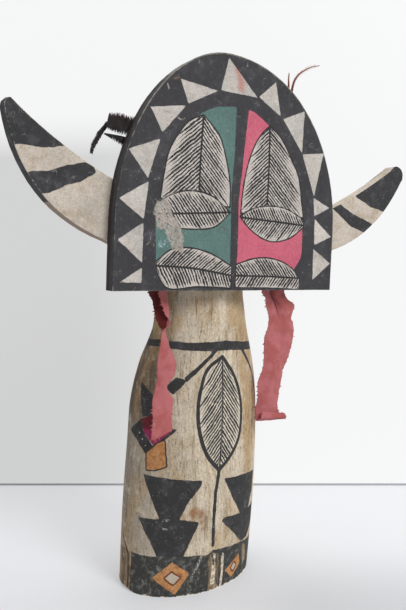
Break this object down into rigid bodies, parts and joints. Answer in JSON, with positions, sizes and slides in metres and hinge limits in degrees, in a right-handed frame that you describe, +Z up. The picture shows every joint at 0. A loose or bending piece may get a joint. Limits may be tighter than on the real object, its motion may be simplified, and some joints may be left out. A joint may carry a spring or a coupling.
{
  "type": "wooden doll",
  "caption": "Standing carved log doll with an arched painted face board, flat crescent horns, torn cloth strips and a few feathers.",
  "frame": {"origin": "middle of the log's cut underside, on the surface the doll stands on", "axes": "+Z up, -Y out of the painted front of the face board, +X to the viewer's right"},
  "size_m": [0.4708, 0.1293, 0.5568],
  "materials": {
    "log_wood": "matte whitewashed and painted wood, streaked and worn",
    "board_paint": "matte charcoal paint on sawn wood, with painted pattern",
    "horn_paint": "matte off-white and charcoal paint on sawn wood",
    "cloth": "faded red torn plain-weave cotton",
    "black_feather": "brown-black feather vane",
    "red_feather": "rust-red dyed feather"
  },
  "bodies": {
    "root": {"body": "log_wood", "face_board": "board_paint", "left_horn": "horn_paint", "right_horn": "horn_paint", "left_cloth_strip": "cloth", "right_cloth_strip": "cloth", "curled_feather": "black_feather", "fluffy_feather": "black_feather", "lower_feather": "black_feather", "red_feather": "red_feather", "red_wisp": "red_feather"}
  },
  "joints": []
}
